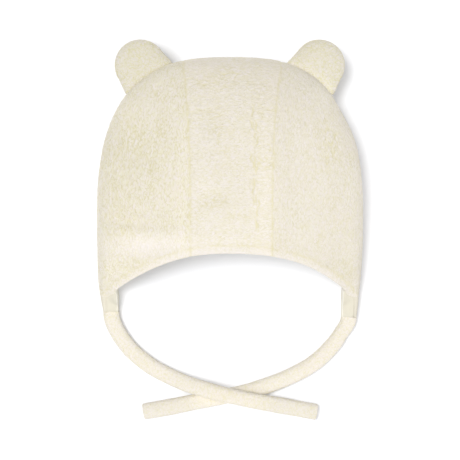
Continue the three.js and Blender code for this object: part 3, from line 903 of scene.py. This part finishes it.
def fleece_material(name, stretch, tone, contrast, parted):
    """Short-pile fleece: bright cream tips, narrow yellowish lines where the pile parts, soft mottling, fine
    fibres as bump drawn out by the stretch, and a sheen of loose fibres. Each part of the hat has its own
    tone, contrast and colour of the parted pile, because its pile lies another way to the light: these
    differences are painted light and shade."""
    s = Shader(name)
    opened, painted_light_and_tone, pile, white = (s.look(key) for key in ("opened", "painted_light_and_tone", "pile", "white"))
    fibre = s.noise(1150, stretch, 3.0, 0.6)
    fine = s.noise(520, stretch, 1.0, 0.5)
    mottle = s.noise(34, (1, 1, 1), 2.0, 0.5)
    warm = s.noise(21, (1, 1, 1), 1.0, 0.5)
    hue = s.noise(480, stretch, 1.0, 0.5)
    tips = s.mix(s.ramp(mottle, 0.3, 0.7), linear(TIPS_COOL, tone), linear(TIPS_PALE, tone))
    tips = s.mix(s.ramp(warm, 0.45, 0.75, 0, 0.4), tips, linear(TIPS_WARM, tone))
    tips = s.mix(s.ramp(hue, 0.36, 0.64, 0.0, 0.8 * contrast), tips, linear(TIPS_YELLOW, tone))
    tips = s.mix(s.ramp(white, 0.0, 1.0, 0.0, 0.7), tips, linear(BRUSHED_WHITE, tone))
    marks = s.crackle(s.noise(400, stretch, 1.0, 0.5), 0.055, contrast)
    marks = s.add("ShaderNodeMath", {0: marks, 1: pile}, operation="MULTIPLY").outputs[0]
    lines = s.mix(marks, tips, linear(parted, tone))
    shaded = s.mix(s.ramp(fine, 0.36, 0.64, 0.2 * contrast, 0.0), lines, linear(FIBRE_SHADE, tone))
    deep = s.mix(s.ramp(opened, 0.05, 1.0, 0.0, 0.85), shaded, linear(PARTED_DEEP, tone))
    smooth = s.mix(s.ramp(pile, 0.0, 0.3, 1.0, 0.0), deep, linear(FLAP_TIP, tone))
    # Painted light and tone: the colour is scaled by the look that paints it lighter or darker.
    colour_with_painted_light_and_tone = s.add("ShaderNodeVectorMath", {"Vector": smooth, "Scale": painted_light_and_tone}, operation="SCALE")
    normal = s.bump(fine, 0.6, 0.00095)
    normal = s.bump(fibre, 0.6, 0.0004, normal)
    s.feed(s.main, "Base Color", colour_with_painted_light_and_tone.outputs["Vector"])
    s.feed(s.main, "Normal", normal)
    s.feed(s.main, "Roughness", 0.95)
    s.feed(s.main, "Specular IOR Level", 0.12)
    s.feed(s.main, "Sheen Weight", 0.35)
    s.feed(s.main, "Sheen Roughness", 0.55)
    s.feed(s.main, "Sheen Tint", linear(LOOSE_FIBRES))
    return s.material


def jersey_material():
    """Fine cotton knit: narrow upright ribs of wave bump with a fine cross grain, and a slight mottle."""
    s = Shader("cream jersey")
    ribs = s.add("ShaderNodeTexWave", {"Vector": s.place, "Scale": 320.0, "Distortion": 1.2, "Detail": 2.0,
                                       "Detail Scale": 2.0}, wave_type="BANDS", bands_direction="X")
    grain = s.noise(1500, (1, 0.6, 1), 2.0, 0.5)
    mottle = s.noise(60, (1, 1, 1), 2.0, 0.5)
    tone = s.mix(s.ramp(mottle, 0.3, 0.7), linear(KNIT_DARK, 0.77), linear(KNIT_PALE, 0.77))
    tone = s.mix(s.ramp(ribs.outputs["Fac"], 0.0, 1.0, 0.16, 0.0), tone, linear(KNIT_GROOVE, 0.86))
    # Painted light on the tab's rim: the knit's colour is lifted towards a pale cream where the lining's look
    # is high.
    tone = s.mix(s.ramp(s.look("rim_painted_light"), 0.0, 0.22), tone, linear(KNIT_PAINTED_LIGHT, 0.97))
    normal = s.bump(ribs.outputs["Fac"], 0.35, 0.0004)
    normal = s.bump(grain, 0.3, 0.0002, normal)
    s.feed(s.main, "Base Color", tone)
    s.feed(s.main, "Normal", normal)
    s.feed(s.main, "Roughness", 0.9)
    s.feed(s.main, "Specular IOR Level", 0.15)
    s.feed(s.main, "Sheen Weight", 0.2)
    return s.material


def thread_material():
    """Sewing thread: plain cream with a fine twist."""
    s = Shader("cream thread")
    twist = s.noise(2200, (1, 1, 1), 1.0, 0.5)
    s.feed(s.main, "Base Color", s.mix(twist, linear(THREAD_DARK, 0.84), linear(THREAD_PALE, 0.84)))
    s.feed(s.main, "Roughness", 0.8)
    return s.material


# Stage and light

def make_floor():
    """A wide pale floor that glows a little, as a light table does."""
    s = Shader("pale floor")
    s.feed(s.main, "Base Color", FLOOR_WHITE)
    s.feed(s.main, "Roughness", 1.0)
    s.feed(s.main, "Specular IOR Level", 0.0)
    s.feed(s.main, "Emission Color", (1, 1, 1, 1))
    s.feed(s.main, "Emission Strength", FLOOR_GLOW)
    mesh = bpy.data.meshes.new("floor")
    reach = 6.0
    mesh.from_pydata([(-reach, -reach, 0), (reach, -reach, 0), (reach, reach, 0), (-reach, reach, 0)], [],
                     [(0, 1, 2, 3)])
    mesh.materials.append(s.material)
    floor = bpy.data.objects.new("floor", mesh)
    floor.location.z = -0.0002
    bpy.context.scene.collection.objects.link(floor)


def make_sun(name, energy, spread, tilt, heading):
    """A sun off straight down by the tilt, towards the heading (0 is +X, 90 is +Y), all in degrees."""
    data = bpy.data.lights.new(name, "SUN")
    data.energy = energy
    data.angle = math.radians(spread)
    sun = bpy.data.objects.new(name, data)
    sun.rotation_euler = (0, math.radians(tilt), math.radians(heading))
    bpy.context.scene.collection.objects.link(sun)


def make_lights():
    """Soft white light from all round, a very wide soft light from the brim's side, a faint one like it from
    the right, and a small soft one from the upper left, whose shadow falls to the right and below."""
    world = bpy.data.worlds.new("studio")
    bpy.context.scene.world = world
    world.use_nodes = True
    sky = world.node_tree.nodes["Background"]
    sky.inputs["Color"].default_value = (1, 1, 1, 1)
    sky.inputs["Strength"].default_value = 0.28
    make_sun("wide light", energy=1.15, spread=80, tilt=52, heading=-62)
    make_sun("shadow light", energy=2.25, spread=24, tilt=16, heading=160)
    make_sun("right light", energy=0.28, spread=80, tilt=62, heading=8)
    view = bpy.context.scene.view_settings
    view.view_transform = "Standard"
    view.look = "None"
    view.exposure = 0.0
    view.gamma = 1.0


make_camera()
# Each part's own tone and contrast is painted light and shade, for the way its pile lies to the light.
left_fleece = fleece_material("cream fleece left side", stretch=(1.3, 0.6, 1.0), tone=0.785, contrast=1.0,
                              parted=(227, 219, 181))
right_fleece = fleece_material("cream fleece right side", stretch=(1.3, 0.65, 1.0), tone=0.765, contrast=0.65,
                               parted=(224, 217, 179))
strip_fleece = fleece_material("cream fleece strip", stretch=(0.7, 1.2, 1.0), tone=0.785, contrast=0.6,
                               parted=(225, 218, 180))
ear_fleece = fleece_material("cream fleece ears", stretch=(0.9, 1.0, 1.0), tone=0.73, contrast=0.95,
                             parted=(235, 229, 180))
tie_fleece = fleece_material("cream fleece ties", stretch=(1.0, 1.0, 1.0), tone=0.845, contrast=0.6,
                             parted=(236, 229, 184))

tie("tie_left_tube", "tie_left", LEFT_TIE, seed=31, slim=0.0, material=tie_fleece)
tie("tie_right_tube", "tie_right", RIGHT_TIE, seed=37, slim=0.1, material=tie_fleece)

# The way the pile is drawn out: across on the strip, up and down on the sides
SIDE_GRAIN = (0.85, 1.7, 1.2)
STRIP_GRAIN = (1.8, 0.85, 1.2)
EAR_GRAIN = (1.0, 1.0, 1.0)
fleece_panel("side_left_fleece", "side_panel_left", 0, LEFT_SEAM, columns=250, front_rows=236,
             back_rows=90, grain=SIDE_GRAIN, seed=11, material=left_fleece)
fleece_panel("centre_fleece", "centre_panel", LEFT_SEAM, RIGHT_SEAM, columns=160, front_rows=300,
             back_rows=130, grain=STRIP_GRAIN, seed=17, material=strip_fleece)
fleece_panel("side_right_fleece", "side_panel_right", RIGHT_SEAM, 2, columns=250, front_rows=236,
             back_rows=90, grain=SIDE_GRAIN, seed=23, material=right_fleece)
lining(jersey_material())
ear(-1, EAR_GRAIN, seed=41, material=ear_fleece)
ear(1, EAR_GRAIN, seed=47, material=ear_fleece)
hem_stitches(thread_material())
make_floor()
make_lights()
